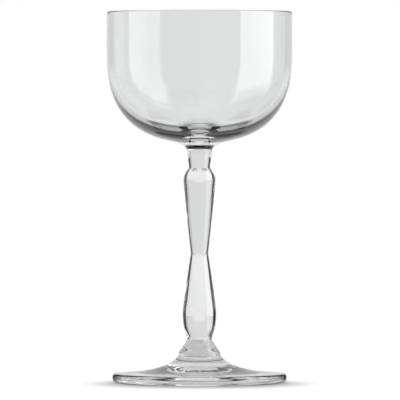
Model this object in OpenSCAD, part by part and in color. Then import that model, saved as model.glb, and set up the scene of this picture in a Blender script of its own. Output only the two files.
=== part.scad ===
// Stemmed cocktail glass in three bodies of clear glass, welded end to end.
// The origin is the middle of the resting ring, and the axis is +Z.

/* [Bowl] */
// Outside width where the bowl is widest
bowl_w = 76; // [60:0.5:96]
// How far the side leans in between its widest place and the rim
rim_lean = 0.12; // [0:0.02:2]
// Height of the almost straight side
side_h = 13.5; // [6:0.5:40]
// Height of the rounded part below the side
cup_h = 40.45; // [26:0.05:60]
// How square the curve is where it leaves the side (2 is an ellipse)
side_power = 2.84; // [2:0.02:3.5]
// How flat the curve is under the bowl (2 is an ellipse)
base_power = 2.42; // [2:0.02:2.8]
// How flat the curve is at the bottom of the inside (2 is an ellipse)
inner_base_power = 2.5; // [2:0.02:2.8]
// Thickness of the rim
rim_wall = 1.2; // [0.8:0.05:2.5]
// Thickness of the wall at the foot of the straight side
side_wall = 1.4; // [0.8:0.05:3]
// Thickness of the glass between the inside and the underside, in the middle
base_wall = 4; // [1.2:0.1:6]
// Height of the solid neck between the underside and the weld
bowl_neck_h = 3; // [2:0.05:8]
// Width at which the fillet of the neck runs out into the underside
fillet_w = 31; // [20:0.5:42]

/* [Welds] */
// Width of the weld between bowl and stem
neck_weld_w = 10.3; // [7:0.1:14]
// Width of the weld between stem and foot
ankle_weld_w = 10.2; // [7:0.1:14]

/* [Stem] */
// Width at the crease where the neck meets the shoulder
crease_w = 8.6; // [5:0.1:14]
// Height of the neck above the crease
neck_h = 7.2; // [3:0.1:20]
// Width of the shoulder
shoulder_w = 13.1; // [8:0.1:20]
// Height from the widest place of the shoulder up to the crease
shoulder_h = 5.45; // [3:0.05:12]
// Width of the waist
waist_w = 7; // [5:0.1:12]
// Height from the waist up to the shoulder
taper_h = 29.3; // [12:0.1:60]
// Width of the lower swell
swell_w = 13.8; // [8:0.1:20]
// Height from the swell up to the waist
swell_rise_h = 25.2; // [10:0.1:50]
// Height from the weld up to the swell
swell_drop_h = 10.05; // [5:0.05:20]

/* [Foot] */
// Outside width of the foot
foot_w = 71.6; // [56:0.5:90]
// Width of the cone where the sweep begins
cone_w = 17.4; // [14.5:0.1:26]
// Height of the cone
cone_h = 6.65; // [3:0.05:14]
// Height of the sweep from the cone down to the edge
sweep_h = 7.4; // [4:0.1:16]
// Thickness of the edge
edge_h = 3.8; // [2.5:0.1:7]
// How far the rounding of the edge reaches in over the top
edge_round = 0.9; // [0.4:0.05:3]
// How far the resting ring lies inside the edge
ring_inset = 1.6; // [0.6:0.1:4]
// Width of the resting ring
ring_w = 2.4; // [1:0.1:8]
// Height of the hollow under the foot, in the middle
hollow_h = 2.2; // [1:0.1:3.5]

/* [Hidden] */
$fn = 96;
curve_steps = 10;
cup_steps = 24;
lip_steps = 8;
glass_colour = [0.86, 0.88, 0.88, 0.5];

// Heights that stack up from the table
foot_h = edge_h + sweep_h + cone_h;
stem_h = swell_drop_h + swell_rise_h + taper_h + shoulder_h + neck_h;
bowl_base_z = foot_h + stem_h;
cup_top_h = bowl_neck_h + cup_h;
rim_h = cup_top_h + side_h;

// Each pair is how far a curve's handle lies from the curve's start towards its end,
// outwards and upwards, as shares of the distance between the two
fillet_start_share = [0, 0.55];
fillet_reach_share = 0.54;
drop_start_share = [0, 0.24];
drop_end_share = [1, 0.3];
rise_start_share = [0, 0.1];
rise_end_share = [0, 0.12];
taper_start_share = [0.05, 0];
taper_end_share = [1, 0.97];
shoulder_start_share = [0, 0.45];
shoulder_end_share = [0.25, 0.7];
neck_start_share = [0.2, 0.3];
neck_end_share = [0.8, 0.7];
cone_start_share = [0, 0.34];
cone_end_share = [0.52, 0.44];
sweep_start_share = [0.71, 0.12];
sweep_end_share = [0.92, 0.57];
edge_height_share = 0.55;
underedge_start_share = [0.6, 0];
underedge_end_share = [1, 0.5];
overedge_start_share = [0, 0.6];
overedge_end_share = [0.5, 1];
hollow_start_share = [0.45, 0];
hollow_end_share = [0.85, 0.7];

// Points of a cubic curve from a to b, without a itself
function curve(a, b, start_share, end_share) =
    let (
        span = b - a,
        pull_a = a + [span.x * start_share.x, span.y * start_share.y],
        pull_b = a + [span.x * end_share.x, span.y * end_share.y]
    )
    [for (i = [1:curve_steps])
        let (t = i / curve_steps, s = 1 - t)
        s * s * s * a + 3 * s * s * t * pull_a + 3 * s * t * t * pull_b + t * t * t * b];

// Point of a cup's outline below its top, from 0 degrees at the side to 90 at the bottom,
// where flatness is the power of its base
function cup(radius, depth, flatness, turn) =
    [radius * pow(cos(turn), 2 / flatness), -depth * pow(sin(turn), 2 / side_power)];

// Rise per length outwards of a cup's outline at a turn
function cup_slope(radius, depth, flatness, turn) =
    depth * flatness / (radius * side_power)
    * pow(sin(turn), 2 / side_power - 2) * pow(cos(turn), 2 - 2 / flatness);

// Blown bowl with a fire-polished rim, drawn down into a solid neck
module bowl() {
    outer_r = bowl_w / 2;
    inner_r = outer_r - side_wall;
    inner_depth = cup_h - base_wall;
    weld = [neck_weld_w / 2, 0];
    fillet_turn = acos(pow(fillet_w / bowl_w, base_power / 2));
    fillet_end = [0, cup_top_h] + cup(outer_r, cup_h, base_power, fillet_turn);
    fillet_reach = (fillet_end.x - weld.x) * fillet_reach_share;
    fillet_rise = fillet_reach * cup_slope(outer_r, cup_h, base_power, fillet_turn);
    fillet_end_share = [1 - fillet_reach_share, 1 - fillet_rise / fillet_end.y];
    lip_r = rim_wall / 2;
    lip = [outer_r - rim_lean - lip_r, rim_h - lip_r];
    color(glass_colour)
    translate([0, 0, bowl_base_z])
    rotate_extrude()
    polygon(concat(
        [[0, 0], weld],
        curve(weld, fillet_end, fillet_start_share, fillet_end_share),
        [for (i = [cup_steps - 1:-1:0])
            [0, cup_top_h] + cup(outer_r, cup_h, base_power, fillet_turn * i / cup_steps)],
        [for (i = [0:lip_steps])
            lip + lip_r * [cos(180 * i / lip_steps), sin(180 * i / lip_steps)]],
        [for (i = [0:cup_steps])
            [0, cup_top_h] + cup(inner_r, inner_depth, inner_base_power, 90 * i / cup_steps)]
    ));
}

// Pressed stem: swell, waist, long taper, shoulder, crease and neck, from the bottom up
module stem() {
    ankle = [ankle_weld_w / 2, 0];
    swell = [swell_w / 2, swell_drop_h];
    waist = [waist_w / 2, swell.y + swell_rise_h];
    shoulder = [shoulder_w / 2, waist.y + taper_h];
    crease = [crease_w / 2, shoulder.y + shoulder_h];
    neck = [neck_weld_w / 2, crease.y + neck_h];
    color(glass_colour)
    translate([0, 0, foot_h])
    rotate_extrude()
    polygon(concat(
        [[0, 0], ankle],
        curve(ankle, swell, drop_start_share, drop_end_share),
        curve(swell, waist, rise_start_share, rise_end_share),
        curve(waist, shoulder, taper_start_share, taper_end_share),
        curve(shoulder, crease, shoulder_start_share, shoulder_end_share),
        curve(crease, neck, neck_start_share, neck_end_share),
        [[0, stem_h]]
    ));
}

// Pressed foot: hollow underneath, resting ring, rounded edge, sweep and cone
module foot() {
    outer_r = foot_w / 2;
    hollow_top = [0, hollow_h];
    ring_out = [outer_r - ring_inset, 0];
    ring_in = [ring_out.x - ring_w, 0];
    edge = [outer_r, edge_h * edge_height_share];
    edge_top = [outer_r - edge_round, edge_h];
    cone_base = [cone_w / 2, edge_h + sweep_h];
    ankle = [ankle_weld_w / 2, foot_h];
    color(glass_colour)
    rotate_extrude()
    polygon(concat(
        [hollow_top],
        curve(hollow_top, ring_in, hollow_start_share, hollow_end_share),
        [ring_out],
        curve(ring_out, edge, underedge_start_share, underedge_end_share),
        curve(edge, edge_top, overedge_start_share, overedge_end_share),
        curve(edge_top, cone_base, sweep_start_share, sweep_end_share),
        curve(cone_base, ankle, cone_start_share, cone_end_share),
        [[0, foot_h]]
    ));
}

bowl();
stem();
foot();
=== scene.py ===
import math

import bpy
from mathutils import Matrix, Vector, noise


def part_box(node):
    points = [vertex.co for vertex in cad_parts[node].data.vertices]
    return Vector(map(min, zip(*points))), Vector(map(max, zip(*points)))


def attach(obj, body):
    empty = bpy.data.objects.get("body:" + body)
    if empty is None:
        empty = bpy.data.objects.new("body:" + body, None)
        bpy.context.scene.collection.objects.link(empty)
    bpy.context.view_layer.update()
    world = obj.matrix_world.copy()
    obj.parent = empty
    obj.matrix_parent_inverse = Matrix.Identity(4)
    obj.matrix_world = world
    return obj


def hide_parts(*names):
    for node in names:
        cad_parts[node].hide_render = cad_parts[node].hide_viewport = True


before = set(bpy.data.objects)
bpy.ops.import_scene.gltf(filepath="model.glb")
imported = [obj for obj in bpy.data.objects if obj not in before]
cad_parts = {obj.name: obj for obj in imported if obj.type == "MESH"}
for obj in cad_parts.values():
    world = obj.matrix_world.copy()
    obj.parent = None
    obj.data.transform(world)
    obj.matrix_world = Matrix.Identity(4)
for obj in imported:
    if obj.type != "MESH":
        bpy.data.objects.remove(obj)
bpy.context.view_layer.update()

mm = 0.001
nearAxis = 1e-7                       # an outline point this close to the axis lies on it
oneBounce = 0.5                       # a ray depth above this means one bounce or more


# Cubic curve from start to end, without start itself. The shares place its two handles on
# the way. The points of an outline are [radius, height, crisp], in metres.
def curve(start, end, startShare, endShare, steps=28, crispEnd=False):
    spanR, spanZ = end[0] - start[0], end[1] - start[1]
    pullA = (start[0] + spanR * startShare[0], start[1] + spanZ * startShare[1])
    pullB = (start[0] + spanR * endShare[0], start[1] + spanZ * endShare[1])
    points = []
    for i in range(1, steps + 1):
        t = i / steps
        s = 1 - t
        w = (s ** 3, 3 * s * s * t, 3 * s * t * t, t ** 3)
        r = w[0] * start[0] + w[1] * pullA[0] + w[2] * pullB[0] + w[3] * end[0]
        z = w[0] * start[1] + w[1] * pullA[1] + w[2] * pullB[1] + w[3] * end[1]
        points.append([r, z, crispEnd and i == steps])
    return points


# Turns an outline round the axis into a closed piece. Weld rows count the outline's stretches
# from 0, and their faces get the second material.
def turnPiece(name, outline, segments, swell, materials, weldRows):
    verts, rings = [], []
    for r, z, crisp in outline:
        if r < nearAxis:
            rings.append([len(verts)])
            verts.append((0, 0, z))
            continue
        ring = []
        for k in range(segments):
            a = 2 * math.pi * k / segments
            out = r + swell(a, r, z)
            ring.append(len(verts))
            verts.append((out * math.cos(a), out * math.sin(a), z))
        rings.append(ring)
    faces, weld = [], []
    for row in range(len(rings) - 1):
        low, high = rings[row], rings[row + 1]
        for k in range(segments):
            n = (k + 1) % segments
            if len(low) == 1:
                face = (low[0], high[n], high[k])
            elif len(high) == 1:
                face = (low[k], low[n], high[0])
            else:
                face = (low[k], low[n], high[n], high[k])
            faces.append(face)
            weld.append(row in weldRows)
    mesh = bpy.data.meshes.new(name)
    mesh.from_pydata(verts, [], faces)
    for material in materials:
        mesh.materials.append(material)
    mesh.polygons.foreach_set("material_index", [int(w) for w in weld])
    mesh.polygons.foreach_set("use_smooth", [True] * len(faces))
    crispVerts = set()
    for point, ring in zip(outline, rings):
        if point[2]:
            crispVerts.update(ring)
    crispEdges = [e.vertices[0] in crispVerts and e.vertices[1] in crispVerts for e in mesh.edges]
    marks = mesh.attributes.new("sharp_edge", "BOOLEAN", "EDGE")
    marks.data.foreach_set("value", crispEdges)
    mesh.update()
    piece = bpy.data.objects.new(name, mesh)
    bpy.context.scene.collection.objects.link(piece)
    return piece


# Slight unevenness of pressed and blown glass, up to depth in or out
def waver(depth, aroundScale, upScale, seed):
    def swell(a, r, z):
        spot = Vector((math.cos(a) * aroundScale, math.sin(a) * aroundScale, z * upScale + seed))
        return depth * noise.noise(spot)
    return swell


# Detail of the noises in the node groups that the three glass materials share
glassNoise = {"broad": 1.5, "fine": 3, "cord": 4}
fineTimes = 4                         # how many times smaller the fine waves are


# Waves that mould and tools leave, as a height
def makeWaveGroup():
    tree = bpy.data.node_groups.new("pressWaves", "ShaderNodeTree")
    sockets = tree.interface
    for label, value in (("Scale", 60.0), ("Stretch", 0.3), ("Fine", 0.3)):
        sockets.new_socket(label, in_out="INPUT", socket_type="NodeSocketFloat").default_value = value
    sockets.new_socket("Height", in_out="OUTPUT", socket_type="NodeSocketFloat")
    nodes, links = tree.nodes, tree.links
    inside, outside = nodes.new("NodeGroupInput"), nodes.new("NodeGroupOutput")
    coords = nodes.new("ShaderNodeTexCoord")
    stretch = nodes.new("ShaderNodeCombineXYZ")
    stretch.inputs["X"].default_value = stretch.inputs["Y"].default_value = 1
    scaled = nodes.new("ShaderNodeVectorMath")
    scaled.operation = "MULTIPLY"
    broad, fine = nodes.new("ShaderNodeTexNoise"), nodes.new("ShaderNodeTexNoise")
    broad.inputs["Detail"].default_value = glassNoise["broad"]
    fine.inputs["Detail"].default_value = glassNoise["fine"]
    finer = nodes.new("ShaderNodeMath")
    finer.operation = "MULTIPLY"
    finer.inputs[1].default_value = fineTimes
    part = nodes.new("ShaderNodeMath")
    part.operation = "MULTIPLY_ADD"
    links.new(inside.outputs["Stretch"], stretch.inputs["Z"])
    links.new(coords.outputs["Object"], scaled.inputs[0])
    links.new(stretch.outputs["Vector"], scaled.inputs[1])
    for tex in (broad, fine):
        links.new(scaled.outputs["Vector"], tex.inputs["Vector"])
    links.new(inside.outputs["Scale"], broad.inputs["Scale"])
    links.new(inside.outputs["Scale"], finer.inputs[0])
    links.new(finer.outputs[0], fine.inputs["Scale"])
    links.new(fine.outputs["Fac"], part.inputs[0])
    links.new(inside.outputs["Fine"], part.inputs[1])
    links.new(broad.outputs["Fac"], part.inputs[2])
    links.new(part.outputs[0], outside.inputs["Height"])
    return tree


# Colour of the melt, with faint cords in it
def makeClarityGroup():
    tree = bpy.data.node_groups.new("meltClarity", "ShaderNodeTree")
    sockets = tree.interface
    for label, kind, value in (
        ("Clear", "NodeSocketColor", (1, 1, 1, 1)),
        ("Cord", "NodeSocketColor", (0.95, 0.96, 0.96, 1)),
        ("Scale", "NodeSocketFloat", 40.0),
    ):
        sockets.new_socket(label, in_out="INPUT", socket_type=kind).default_value = value
    sockets.new_socket("Color", in_out="OUTPUT", socket_type="NodeSocketColor")
    nodes, links = tree.nodes, tree.links
    inside, outside = nodes.new("NodeGroupInput"), nodes.new("NodeGroupOutput")
    coords = nodes.new("ShaderNodeTexCoord")
    tex = nodes.new("ShaderNodeTexNoise")
    tex.inputs["Detail"].default_value = glassNoise["cord"]
    tint = nodes.new("ShaderNodeMix")
    tint.data_type = "RGBA"
    factor, colorA, colorB = tint.inputs[0], tint.inputs[6], tint.inputs[7]
    links.new(coords.outputs["Object"], tex.inputs["Vector"])
    links.new(inside.outputs["Scale"], tex.inputs["Scale"])
    links.new(tex.outputs["Fac"], factor)
    links.new(inside.outputs["Clear"], colorA)
    links.new(inside.outputs["Cord"], colorB)
    links.new(tint.outputs[2], outside.inputs["Color"])
    return tree


waveGroup, clarityGroup = makeWaveGroup(), makeClarityGroup()
print("shared glass effects built")


def makeGlass(name, look):
    material = bpy.data.materials.new(name)
    material.use_nodes = True
    nodes, links = material.node_tree.nodes, material.node_tree.links
    shader = nodes["Principled BSDF"]
    shader.inputs["Transmission Weight"].default_value = 1
    shader.inputs["IOR"].default_value = look["ior"]
    shader.inputs["Metallic"].default_value = 0
    shader.inputs["Roughness"].default_value = look["roughness"]
    clarity = nodes.new("ShaderNodeGroup")
    clarity.node_tree = clarityGroup
    clarity.inputs["Clear"].default_value = (*look["clear"], 1)
    clarity.inputs["Cord"].default_value = (*look["cord"], 1)
    clarity.inputs["Scale"].default_value = look["cordScale"]
    waves = nodes.new("ShaderNodeGroup")
    waves.node_tree = waveGroup
    waves.inputs["Scale"].default_value = look["waveScale"]
    waves.inputs["Stretch"].default_value = look["waveStretch"]
    waves.inputs["Fine"].default_value = look["waveFine"]
    bump = nodes.new("ShaderNodeBump")
    bump.inputs["Strength"].default_value = look["waveStrength"]
    bump.inputs["Distance"].default_value = look["waveDepth"]
    links.new(clarity.outputs["Color"], shader.inputs["Base Color"])
    links.new(waves.outputs["Height"], bump.inputs["Height"])
    links.new(bump.outputs["Normal"], shader.inputs["Normal"])
    return material


# The glass has run together at a weld, so no surface shows there
def makeWeldClear():
    material = bpy.data.materials.new("weldClear")
    material.use_nodes = True
    nodes, links = material.node_tree.nodes, material.node_tree.links
    nodes.remove(nodes["Principled BSDF"])
    clear = nodes.new("ShaderNodeBsdfTransparent")
    links.new(clear.outputs["BSDF"], nodes["Material Output"].inputs["Surface"])
    return material


weldClear = makeWeldClear()

# The powers say how square a cup's curve is at the side and how flat at the base, and 2 is
# an ellipse. A waver is depth, scale around, scale upwards and seed.
bowl = {
    "rimLean": 0.12 * mm,
    "rimWall": 1.2 * mm,
    "sideWall": 1.4 * mm,
    "baseWall": 4 * mm,
    "cupDepth": 40.45 * mm,
    "neckDrop": 3 * mm,               # from the underside of the cup to the weld
    "sidePower": 2.84,
    "basePower": 2.42,
    "innerBasePower": 2.5,
    "weldWidth": 10.3 * mm,
    "filletWidth": 31 * mm,
    "filletStartShare": (0, 0.55),
    "filletReachShare": 0.54,
    "segments": 256,
    "cupSteps": 96,
    "sideSteps": 12,
    "lipSteps": 14,
    "waver": (0.03 * mm, 2.2, 40, 3.0),
    "glass": {
        "ior": 1.5, "clear": (0.925, 0.93, 0.93), "cord": (0.91, 0.918, 0.918), "cordScale": 30,
        "roughness": 0.0, "waveScale": 30, "waveStretch": 0.35, "waveFine": 0.1,
        "waveStrength": 0.3, "waveDepth": 0.04 * mm,
    },
}


# Point of a cup's curve, from turn 0 at its top to a right angle at its bottom
def cupPoint(radius, depth, top, flatness, turn):
    r = radius * max(math.cos(turn), 0) ** (2 / flatness)
    return [r, top - depth * math.sin(turn) ** (2 / bowl["sidePower"]), False]


def makeBowl():
    low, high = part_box("bowl")
    outer = (high.x - low.x) / 2
    cupTop = low.z + bowl["neckDrop"] + bowl["cupDepth"]
    weld = [bowl["weldWidth"] / 2, low.z, True]
    flatness = bowl["basePower"]
    start = math.acos((bowl["filletWidth"] / 2 / outer) ** (flatness / 2))
    runOut = cupPoint(outer, bowl["cupDepth"], cupTop, flatness, start)
    slope = bowl["cupDepth"] * flatness / (outer * bowl["sidePower"])
    slope *= math.sin(start) ** (2 / bowl["sidePower"] - 2) * math.cos(start) ** (2 - 2 / flatness)
    reach = bowl["filletReachShare"]
    rise = (runOut[0] - weld[0]) * reach * slope / (runOut[1] - weld[1])
    outline = [[0, low.z, False], weld]
    outline += curve(weld, runOut, bowl["filletStartShare"], (1 - reach, 1 - rise))
    steps = bowl["cupSteps"]
    for i in range(steps - 1, -1, -1):
        outline.append(cupPoint(outer, bowl["cupDepth"], cupTop, flatness, start * i / steps))
    lip = bowl["rimWall"] / 2
    lipR, lipZ = outer - bowl["rimLean"] - lip, high.z - lip
    sideSteps = bowl["sideSteps"]
    for i in range(1, sideSteps):
        t = i / sideSteps
        outline.append([outer + (lipR + lip - outer) * t, cupTop + (lipZ - cupTop) * t, False])
    for i in range(bowl["lipSteps"] + 1):
        a = math.pi * i / bowl["lipSteps"]
        outline.append([lipR + lip * math.cos(a), lipZ + lip * math.sin(a), False])
    inner, depth = outer - bowl["sideWall"], bowl["cupDepth"] - bowl["baseWall"]
    for i in range(1, sideSteps):
        t = i / sideSteps
        outline.append([lipR - lip + (inner - lipR + lip) * t, lipZ + (cupTop - lipZ) * t, False])
    for i in range(steps + 1):
        outline.append(cupPoint(inner, depth, cupTop, bowl["innerBasePower"], math.pi / 2 * i / steps))
    outline[-1][0] = 0
    materials = [makeGlass("blownBowlGlass", bowl["glass"]), weldClear]
    piece = turnPiece("bowl_glass", outline, bowl["segments"], waver(*bowl["waver"]), materials, {0})
    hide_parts("bowl")
    return piece


# Heights are above the weld with the foot. Each pair of shares places a curve's handles.
stem = {
    "ankleWeld": 10.2 * mm,
    "swellWidth": 13.8 * mm,
    "swellHeight": 10.05 * mm,
    "waistWidth": 7 * mm,
    "waistHeight": 35.25 * mm,
    "shoulderWidth": 13.1 * mm,
    "shoulderHeight": 64.55 * mm,
    "creaseWidth": 8.6 * mm,
    "creaseHeight": 70 * mm,
    "neckWeld": 10.3 * mm,
    "dropShares": ((0, 0.24), (1, 0.3)),
    "riseShares": ((0, 0.1), (0, 0.12)),
    "taperShares": ((0.05, 0), (1, 0.97)),
    "taperSteps": 48,
    "shoulderShares": ((0, 0.45), (0.25, 0.7)),
    "neckShares": ((0.2, 0.3), (0.8, 0.7)),
    "segments": 192,
    "waver": (0.03 * mm, 1.5, 60, 11.0),
    "glass": {
        "ior": 1.5, "clear": (0.93, 0.935, 0.935), "cord": (0.92, 0.926, 0.926), "cordScale": 60,
        "roughness": 0.0, "waveScale": 60, "waveStretch": 0.25, "waveFine": 0.1,
        "waveStrength": 0.3, "waveDepth": 0.04 * mm,
    },
}


def makeStem():
    low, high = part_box("stem")

    def place(width, height):
        return [stem[width] / 2, low.z + stem[height], False]

    ankle = [stem["ankleWeld"] / 2, low.z, True]
    swell, waist = place("swellWidth", "swellHeight"), place("waistWidth", "waistHeight")
    shoulder, crease = place("shoulderWidth", "shoulderHeight"), place("creaseWidth", "creaseHeight")
    neck = [stem["neckWeld"] / 2, high.z, True]
    outline = [[0, low.z, False], ankle]
    outline += curve(ankle, swell, *stem["dropShares"])
    outline += curve(swell, waist, *stem["riseShares"])
    outline += curve(waist, shoulder, *stem["taperShares"], steps=stem["taperSteps"])
    outline += curve(shoulder, crease, *stem["shoulderShares"], crispEnd=True)
    outline += curve(crease, neck, *stem["neckShares"], crispEnd=True)
    outline.append([0, high.z, False])
    materials = [makeGlass("pressedStemGlass", stem["glass"]), weldClear]
    welds = {0, len(outline) - 2}
    piece = turnPiece("stem_glass", outline, stem["segments"], waver(*stem["waver"]), materials, welds)
    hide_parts("stem")
    return piece


foot = {
    "coneWidth": 17.4 * mm,
    "coneHeight": 6.65 * mm,
    "edgeHeight": 3.8 * mm,
    "edgeRound": 0.9 * mm,
    "edgeMidShare": 0.55,
    "ringInset": 1.6 * mm,
    "ringWidth": 2.4 * mm,
    "hollowHeight": 2.2 * mm,
    "ankleWeld": 10.2 * mm,
    "hollowShares": ((0.45, 0), (0.85, 0.7)),
    "underedgeShares": ((0.6, 0), (1, 0.5)),
    "overedgeShares": ((0, 0.6), (0.5, 1)),
    "edgeSteps": 12,
    "sweepShares": ((0.71, 0.12), (0.92, 0.57)),
    "sweepSteps": 64,
    "coneShares": ((0, 0.34), (0.52, 0.44)),
    "segments": 256,
    "waver": (0.05 * mm, 2.5, 200, 27.0),
    "glass": {
        "ior": 1.5, "clear": (0.93, 0.935, 0.935), "cord": (0.92, 0.926, 0.926), "cordScale": 60,
        "roughness": 0.0, "waveScale": 90, "waveStretch": 1.5, "waveFine": 0.2,
        "waveStrength": 0.4, "waveDepth": 0.1 * mm,
    },
}


def makeFoot():
    low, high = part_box("foot")
    outer = (high.x - low.x) / 2
    ringOut = [outer - foot["ringInset"], low.z, False]
    ringIn = [ringOut[0] - foot["ringWidth"], low.z, False]
    edge = [outer, low.z + foot["edgeHeight"] * foot["edgeMidShare"], False]
    edgeTop = [outer - foot["edgeRound"], low.z + foot["edgeHeight"], False]
    coneBase = [foot["coneWidth"] / 2, high.z - foot["coneHeight"], False]
    ankle = [foot["ankleWeld"] / 2, high.z, True]
    hollowTop = [0, low.z + foot["hollowHeight"], False]
    outline = [hollowTop] + curve(hollowTop, ringIn, *foot["hollowShares"]) + [ringOut]
    outline += curve(ringOut, edge, *foot["underedgeShares"], steps=foot["edgeSteps"])
    outline += curve(edge, edgeTop, *foot["overedgeShares"], steps=foot["edgeSteps"])
    outline += curve(edgeTop, coneBase, *foot["sweepShares"], steps=foot["sweepSteps"])
    outline += curve(coneBase, ankle, *foot["coneShares"], crispEnd=True)
    outline.append([0, high.z, False])
    materials = [makeGlass("pressedFootGlass", foot["glass"]), weldClear]
    welds = {len(outline) - 2}
    piece = turnPiece("foot_glass", outline, foot["segments"], waver(*foot["waver"]), materials, welds)
    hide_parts("foot")
    return piece


for piece in (makeBowl(), makeStem(), makeFoot()):
    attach(piece, "root")
    print("made", piece.name, len(piece.data.polygons), "faces")


# A mask that is 1 between two values, with soft ends
def makeBandGroup():
    tree = bpy.data.node_groups.new("studioBand", "ShaderNodeTree")
    sockets = tree.interface
    for label in ("Value", "From", "To", "Edge"):
        sockets.new_socket(label, in_out="INPUT", socket_type="NodeSocketFloat")
    sockets.new_socket("Mask", in_out="OUTPUT", socket_type="NodeSocketFloat")
    nodes, links = tree.nodes, tree.links
    inside, outside = nodes.new("NodeGroupInput"), nodes.new("NodeGroupOutput")
    ends = []
    for high, low in (("Value", "From"), ("To", "Value")):
        gap = nodes.new("ShaderNodeMath")
        gap.operation = "SUBTRACT"
        ramp = nodes.new("ShaderNodeMath")
        ramp.operation = "DIVIDE"
        ramp.use_clamp = True
        links.new(inside.outputs[high], gap.inputs[0])
        links.new(inside.outputs[low], gap.inputs[1])
        links.new(gap.outputs[0], ramp.inputs[0])
        links.new(inside.outputs["Edge"], ramp.inputs[1])
        ends.append(ramp)
    both = nodes.new("ShaderNodeMath")
    both.operation = "MULTIPLY"
    links.new(ends[0].outputs[0], both.inputs[0])
    links.new(ends[1].outputs[0], both.inputs[1])
    links.new(both.outputs[0], outside.inputs["Mask"])
    return tree


# Small helpers that add one node to a tree and link or set its inputs
def feed(tree, socket, value):
    if isinstance(value, bpy.types.NodeSocket):
        tree.links.new(value, socket)
    else:
        socket.default_value = value


def calc(tree, operation, *values):
    node = tree.nodes.new("ShaderNodeMath")
    node.operation = operation
    for socket, value in zip(node.inputs, values):
        feed(tree, socket, value)
    return node.outputs[0]


def fade(tree, value, start, end, startLevel, endLevel):
    node = tree.nodes.new("ShaderNodeMapRange")
    node.interpolation_type = "SMOOTHSTEP"
    for label, item in (
        ("Value", value), ("From Min", start), ("From Max", end),
        ("To Min", startLevel), ("To Max", endLevel),
    ):
        feed(tree, node.inputs[label], item)
    return node.outputs["Result"]


def over(tree, base, value, mask):
    node = tree.nodes.new("ShaderNodeMix")
    node.data_type = "FLOAT"
    for label, item in (("Factor", mask), ("A", base), ("B", value)):
        feed(tree, node.inputs[label], item)
    return node.outputs["Result"]


# Studio round the glass, by direction: azimuth in degrees from +Y towards +X, elevation
# in degrees above the table. Levels are light strengths, and 1 is white.
studio = {
    "backdrop": 0.76,
    "horizon": (4, 0),                # the backdrop fades into the pale ground between these
    "ground": 0.74,
    "glow": 0.17,                     # brighter middle of the ground
    "glowSide": (6, 22),
    "sideShare": 0.62,                # share of the backdrop's level that is left at its edges
    "fallFrom": 26,
    "backdropTo": 45,
    "wing": 0.75,                     # on both sides, from the backdrop to the softbox or panel
    "softboxFrom": 73,
    "ceiling": 0.6,
    "ceilingRange": (14, 40),
    "room": 0.3,
    "roomRight": 0.5,                 # extra light on the right, behind the camera
    "rightRange": (60, 150),
    "low": 0.65,                      # a little darker under the wings
    "lowRange": (-6, -9),
    "cloth": 0.28,                    # darker cloth low behind the table
    "clothSide": 31,
    "clothEdge": 6,
    "clothRange": (-12, -27),
    "softbox": 3.0,
    "softboxTo": 128,
    "softboxHigh": 62,
    "softboxLow": -38,
    "softboxSlant": 0.5,              # its ends lie lower by this share of the azimuth
    "softboxMiddle": 100,             # counted from here
    "panel": 0.15,                    # weak panel on the left, as wide as the softbox
    "panelHigh": 45,
    "panelLow": -20,
    "endEdge": 10,                    # softness of the softbox's and the panel's ends
    "patch": 0.58,                    # paler patch over the panel, level with the glass
    "patchSide": (-112, -68),
    "patchSideEdge": 8,
    "patchHigh": (-22, 6),
    "patchHighEdge": 4,
    "edge": 1.5,                      # softness of all other edges
    "plain": 1.0,                     # even light on everything that isn't glass
    "white": 1.0,                     # what the camera sees past the floor
}


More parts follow.
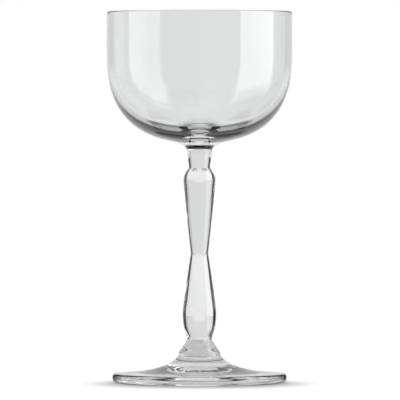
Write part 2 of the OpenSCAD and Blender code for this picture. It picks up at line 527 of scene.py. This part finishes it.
def makeWorld():
    bandGroup = makeBandGroup()
    world = bpy.data.worlds.new("studio")
    bpy.context.scene.world = world
    world.use_nodes = True
    tree = world.node_tree
    coords = tree.nodes.new("ShaderNodeTexCoord")
    split = tree.nodes.new("ShaderNodeSeparateXYZ")
    tree.links.new(coords.outputs["Generated"], split.inputs[0])
    azimuth = calc(tree, "DEGREES", calc(tree, "ARCTAN2", split.outputs["X"], split.outputs["Y"]))
    elevation = calc(tree, "DEGREES", calc(tree, "ARCSINE", split.outputs["Z"]))
    away = calc(tree, "ABSOLUTE", azimuth)

    def band(value, start, end, edge=studio["edge"]):
        node = tree.nodes.new("ShaderNodeGroup")
        node.node_tree = bandGroup
        for label, item in (("Value", value), ("From", start), ("To", end), ("Edge", edge)):
            feed(tree, node.inputs[label], item)
        return node.outputs["Mask"]

    side = fade(tree, away, studio["fallFrom"], studio["backdropTo"], 1.0, studio["sideShare"])
    ground = calc(tree, "ADD", fade(tree, away, *studio["glowSide"], studio["glow"], 0.0), studio["ground"])
    sky = fade(tree, elevation, *studio["horizon"], studio["backdrop"], ground)
    cloth = fade(tree, elevation, *studio["clothRange"], 0.0, 1.0)
    wide = band(away, -studio["clothSide"], studio["clothSide"], studio["clothEdge"])
    cloth = calc(tree, "MULTIPLY", cloth, wide)
    sky = over(tree, calc(tree, "MULTIPLY", side, sky), studio["cloth"], cloth)
    right = fade(tree, azimuth, *studio["rightRange"], 0.0, studio["roomRight"])
    light = calc(tree, "ADD", right, studio["room"])
    wing = over(tree, studio["wing"], studio["low"], fade(tree, elevation, *studio["lowRange"], 0.0, 1.0))
    light = over(tree, light, wing, band(away, -studio["softboxFrom"], studio["softboxFrom"]))
    light = over(tree, light, sky, band(away, -studio["backdropTo"], studio["backdropTo"]))
    high = fade(tree, elevation, *studio["ceilingRange"], 0.0, 1.0)
    light = over(tree, light, studio["ceiling"], high)
    slant = calc(tree, "SUBTRACT", azimuth, studio["softboxMiddle"])
    level = calc(tree, "MULTIPLY_ADD", slant, studio["softboxSlant"], elevation)
    tall = band(level, studio["softboxLow"], studio["softboxHigh"], studio["endEdge"])
    wide = band(azimuth, studio["softboxFrom"], studio["softboxTo"])
    light = over(tree, light, studio["softbox"], calc(tree, "MULTIPLY", tall, wide))
    tall = band(elevation, studio["panelLow"], studio["panelHigh"], studio["endEdge"])
    wide = band(azimuth, -studio["softboxTo"], -studio["softboxFrom"])
    light = over(tree, light, studio["panel"], calc(tree, "MULTIPLY", tall, wide))
    tall = band(elevation, *studio["patchHigh"], studio["patchHighEdge"])
    wide = band(azimuth, *studio["patchSide"], studio["patchSideEdge"])
    light = over(tree, light, studio["patch"], calc(tree, "MULTIPLY", tall, wide))
    rays = tree.nodes.new("ShaderNodeLightPath")
    inGlass = calc(tree, "MAXIMUM", rays.outputs["Is Glossy Ray"], rays.outputs["Is Transmission Ray"])
    bounced = calc(tree, "GREATER_THAN", rays.outputs["Diffuse Depth"], oneBounce)
    inGlass = calc(tree, "MULTIPLY", inGlass, calc(tree, "SUBTRACT", 1.0, bounced))
    light = over(tree, studio["plain"], light, inGlass)
    light = over(tree, light, studio["white"], rays.outputs["Is Camera Ray"])
    background = tree.nodes["Background"]
    background.inputs["Color"].default_value = (1, 1, 1, 1)
    tree.links.new(light, background.inputs["Strength"])


# The lit table that the glass shows. Lengths are in metres, and levels are shares of white.
table = {
    "size": 3.0,
    "half": 0.046,                    # half width of the lit table near the foot
    "spread": 0.9,                    # and how much it widens per length behind
    "mirrorSpread": 1.8,              # the same for what the outer surface mirrors
    "soft": 0.012,                    # softness of its sides
    "front": -0.1,
    "near": 0.9,                      # its level by the foot, darker as painted shade
    "far": 1.0,                       # and further back
    "rise": (0.08, 0.26),
    "facingBlend": 0.5,
    "steepFrom": (0.06, 0.09),        # how far behind the glass a steep look starts to count
    "steep": (0.65, 0.4),             # facing value where a steep look starts and is full
    "steepMiddle": 0.92,              # level of the table's middle, seen steeply
    "steepSide": 0.4,                 # further out, as painted shade
    "paintedShadowRing": 0.22,                # painted shadow of the bowl, in a ring on the table behind
    "middle": (0.014, 0.018),
    "ringCenter": 0.15,
    "ringIn": (0.046, 0.05),
    "ringOut": (0.062, 0.067),
    "paintedFootLight": 0.13,                 # painted light that the foot gathers on the table under it, as a glow
    "footReach": (0.037, 0.033),
    "polish": 0.2,                    # the lit table's roughness
    "floorColor": 0.8,                # of the part that the camera sees
    "seen": 0.24,                     # extra light on that part
    "paintedShadowCenter": -0.012,          # the painted soft shadow on it round the foot
    "paintedShadowReach": (0.028, 0.052),
    "paintedShadow": 0.55,                  # share of the floor's light that is left at the painted shadow's core
}


# The camera sees a wide pale floor, with a painted soft shadow round the foot. The glass shows it as a lit
# table that widens to the back, with painted shade and light on it, and past that the studio's own ground.
def makeFloor():
    half = table["size"] / 2
    mesh = bpy.data.meshes.new("floor")
    corners = [(-half, -half, 0), (half, -half, 0), (half, half, 0), (-half, half, 0)]
    mesh.from_pydata(corners, [], [(0, 1, 2, 3)])
    floor = bpy.data.objects.new("floor", mesh)
    bpy.context.scene.collection.objects.link(floor)
    material = bpy.data.materials.new("paleFloor")
    material.use_nodes = True
    tree = material.node_tree
    nodes, links = tree.nodes, tree.links
    pale = nodes["Principled BSDF"]
    pale.inputs["Roughness"].default_value = 1
    pale.inputs["Specular IOR Level"].default_value = 0
    pale.inputs["Emission Strength"].default_value = 1
    polished = nodes.new("ShaderNodeBsdfPrincipled")
    polished.inputs["Roughness"].default_value = table["polish"]
    through = nodes.new("ShaderNodeBsdfTransparent")
    coords, place = nodes.new("ShaderNodeTexCoord"), nodes.new("ShaderNodeSeparateXYZ")
    links.new(coords.outputs["Object"], place.inputs[0])
    x, y = calc(tree, "ABSOLUTE", place.outputs["X"]), place.outputs["Y"]

    def reachFrom(center):
        gap = calc(tree, "SUBTRACT", y, center)
        squares = calc(tree, "ADD", calc(tree, "MULTIPLY", x, x), calc(tree, "MULTIPLY", gap, gap))
        return calc(tree, "SQRT", squares)

    # Painted shadow: the pale floor's colour and extra light are made darker round the foot
    paintedShadow = fade(tree, reachFrom(table["paintedShadowCenter"]), *table["paintedShadowReach"], table["paintedShadow"], 1.0)
    links.new(calc(tree, "MULTIPLY", paintedShadow, table["floorColor"]), pale.inputs["Base Color"])
    links.new(calc(tree, "MULTIPLY", paintedShadow, table["seen"]), pale.inputs["Emission Color"])
    # Painted shade: the table is darker by the foot than further back
    level = fade(tree, y, *table["rise"], table["near"], table["far"])
    # Painted shade on the table, seen only steeply: darker sides round a lighter middle, and a darker ring
    # where the bowl's shadow falls
    facing = nodes.new("ShaderNodeLayerWeight")
    facing.inputs["Blend"].default_value = table["facingBlend"]
    steep = fade(tree, facing.outputs["Facing"], *table["steep"], 0.0, 1.0)
    below = fade(tree, x, *table["middle"], table["steepMiddle"], table["steepSide"])
    reach = reachFrom(table["ringCenter"])
    below = over(tree, below, table["paintedShadowRing"], fade(tree, reach, *table["ringIn"], 0.0, 1.0))
    steep = calc(tree, "MULTIPLY", steep, fade(tree, reach, *table["ringOut"], 1.0, 0.0))
    steep = calc(tree, "MULTIPLY", steep, fade(tree, y, *table["steepFrom"], 0.0, 1.0))
    links.new(over(tree, level, below, steep), polished.inputs["Base Color"])
    # Painted light: the table under the foot glows
    polished.inputs["Emission Strength"].default_value = 1
    glow = fade(tree, reachFrom(0.0), *table["footReach"], 0.0, table["paintedFootLight"])
    links.new(glow, polished.inputs["Emission Color"])
    rays = nodes.new("ShaderNodeLightPath")
    mirrored = calc(tree, "LESS_THAN", rays.outputs["Transmission Depth"], oneBounce)
    spread = over(tree, table["spread"], table["mirrorSpread"], mirrored)
    limit = calc(tree, "MAXIMUM", table["half"], calc(tree, "MULTIPLY", y, spread))
    across = fade(tree, calc(tree, "SUBTRACT", x, limit), -table["soft"], 0.0, 1.0, 0.0)
    lit = calc(tree, "MULTIPLY", across, calc(tree, "GREATER_THAN", y, table["front"]))
    inGlass, seen = nodes.new("ShaderNodeMixShader"), nodes.new("ShaderNodeMixShader")
    links.new(lit, inGlass.inputs[0])
    links.new(through.outputs[0], inGlass.inputs[1])
    links.new(polished.outputs[0], inGlass.inputs[2])
    links.new(rays.outputs["Is Camera Ray"], seen.inputs[0])
    links.new(inGlass.outputs[0], seen.inputs[1])
    links.new(pale.outputs[0], seen.inputs[2])
    links.new(seen.outputs[0], nodes["Material Output"].inputs["Surface"])
    mesh.materials.append(material)


# Black cards on both sides behind the foot, and narrow ones close behind the stem. From and
# to are degrees to the side of straight behind. The places give the height and the distance
# from the glass's axis, from the bottom up. Only mirrored ones show in reflections.
cards = {
    "foot": {"from": 42.5, "to": 76, "mirrored": True, "places": ((-0.02, 0.08), (0.03, 0.08))},
    "stem": {
        "from": 19, "to": 66, "mirrored": False,
        "places": (
            (0.021, 0.0104), (0.026, 0.0136), (0.031, 0.0138), (0.036, 0.0124), (0.044, 0.009),
            (0.053, 0.007), (0.062, 0.0078), (0.07, 0.0092), (0.077, 0.0115), (0.082, 0.0131),
            (0.085, 0.0115), (0.088, 0.0088), (0.094, 0.01),
        ),
    },
    "steps": 12,
    "color": (0.01, 0.01, 0.01, 1),
}


# The camera doesn't see the cards, and they cast no shadow
def makeCards():
    material = bpy.data.materials.new("blackCard")
    material.use_nodes = True
    shader = material.node_tree.nodes["Principled BSDF"]
    shader.inputs["Base Color"].default_value = cards["color"]
    shader.inputs["Roughness"].default_value = 1
    shader.inputs["Specular IOR Level"].default_value = 0
    for side, name, shape in (
        (-1, "footCardLeft", cards["foot"]), (1, "footCardRight", cards["foot"]),
        (-1, "stemCardLeft", cards["stem"]), (1, "stemCardRight", cards["stem"]),
    ):
        verts, faces = [], []
        count = len(shape["places"])
        for i in range(cards["steps"] + 1):
            share = i / cards["steps"]
            turn = math.radians(shape["from"] * (1 - share) + shape["to"] * share) * side
            verts += [(reach * math.sin(turn), reach * math.cos(turn), z) for z, reach in shape["places"]]
        for i in range(cards["steps"]):
            for j in range(count - 1):
                n = i * count + j
                faces.append((n, n + count, n + count + 1, n + 1))
        mesh = bpy.data.meshes.new(name)
        mesh.from_pydata(verts, [], faces)
        mesh.materials.append(material)
        card = bpy.data.objects.new(name, mesh)
        card.visible_camera = False
        card.visible_diffuse = False
        card.visible_glossy = shape["mirrored"]
        card.visible_shadow = False
        bpy.context.scene.collection.objects.link(card)


makeWorld()
makeFloor()
makeCards()
print("studio lit")

view = {
    "distance": 2.375,
    "height": 110.8 * mm,
    "aim": (0.2 * mm, 74.8 * mm),     # place on the glass's middle plane at the picture's middle
    "sensor": 36.0,
    "frameWidth": 163.8 * mm,         # width of that plane in the picture
    "clipEnd": 50,
}


def makeCamera():
    data = bpy.data.cameras.new("camera")
    data.sensor_width = view["sensor"]
    data.lens = view["sensor"] * view["distance"] / view["frameWidth"]
    data.clip_end = view["clipEnd"]
    camera = bpy.data.objects.new("camera", data)
    camera.location = (view["aim"][0], -view["distance"], view["height"])
    aim = Vector((view["aim"][0], 0, view["aim"][1])) - camera.location
    camera.rotation_euler = aim.to_track_quat("-Z", "Y").to_euler()
    bpy.context.scene.collection.objects.link(camera)
    bpy.context.scene.camera = camera


makeCamera()
print("camera set")
bpy.context.scene.view_settings.view_transform = "Standard"
